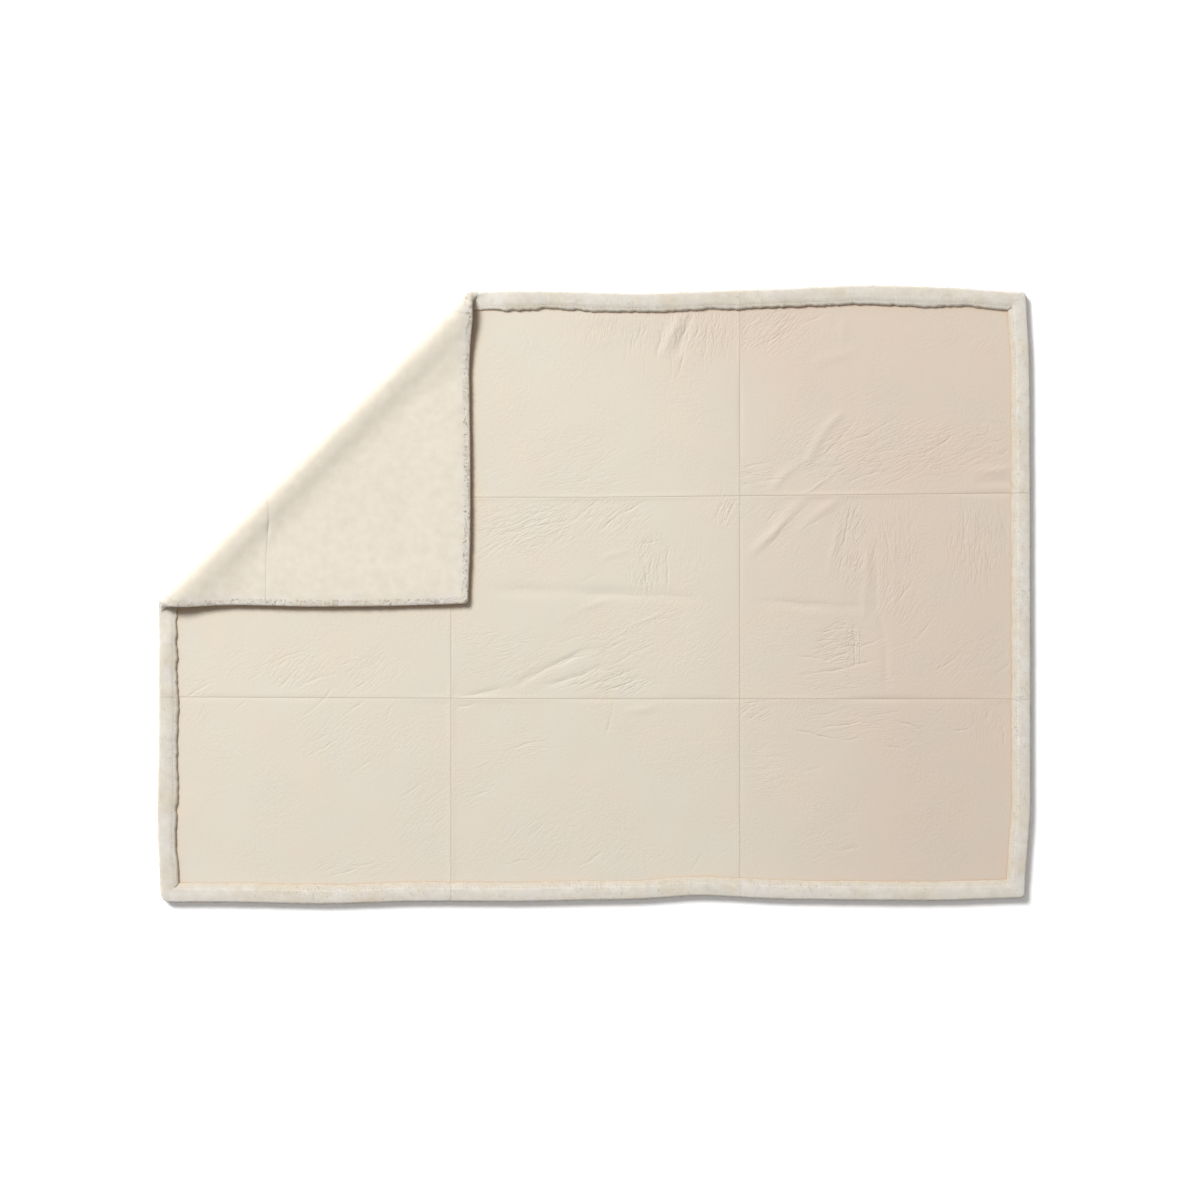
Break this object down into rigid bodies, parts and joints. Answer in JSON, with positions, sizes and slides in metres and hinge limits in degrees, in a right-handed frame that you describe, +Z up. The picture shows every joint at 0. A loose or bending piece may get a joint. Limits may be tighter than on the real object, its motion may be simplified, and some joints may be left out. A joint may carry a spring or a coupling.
{
  "type": "sheepskin throw",
  "caption": "Rectangular wool-on sheepskin throw of sewn panels, skin side up, wool edge turned over all round, one corner folded over to show the wool.",
  "frame": {"origin": "middle of the throw's outline, on the surface that it lies on", "axes": "+X along the long side, towards the right of the picture; +Y along the short side, towards the top of the picture; +Z up from the surface"},
  "size_m": [1.782, 1.265, 0.0528],
  "materials": {
    "skin": "matt suede-like skin side, fine grain and soft creases",
    "wool": "dense sheared wool pile, matt with a soft sheen",
    "thread": "matt sewing thread"
  },
  "bodies": {
    "root": {"panel_top_left": "skin", "panel_top_middle": "skin", "panel_top_right": "skin", "panel_middle_left": "skin", "panel_centre": "skin", "panel_middle_right": "skin", "panel_bottom_left": "skin", "panel_bottom_middle": "skin", "panel_bottom_right": "skin"}
  },
  "joints": []
}
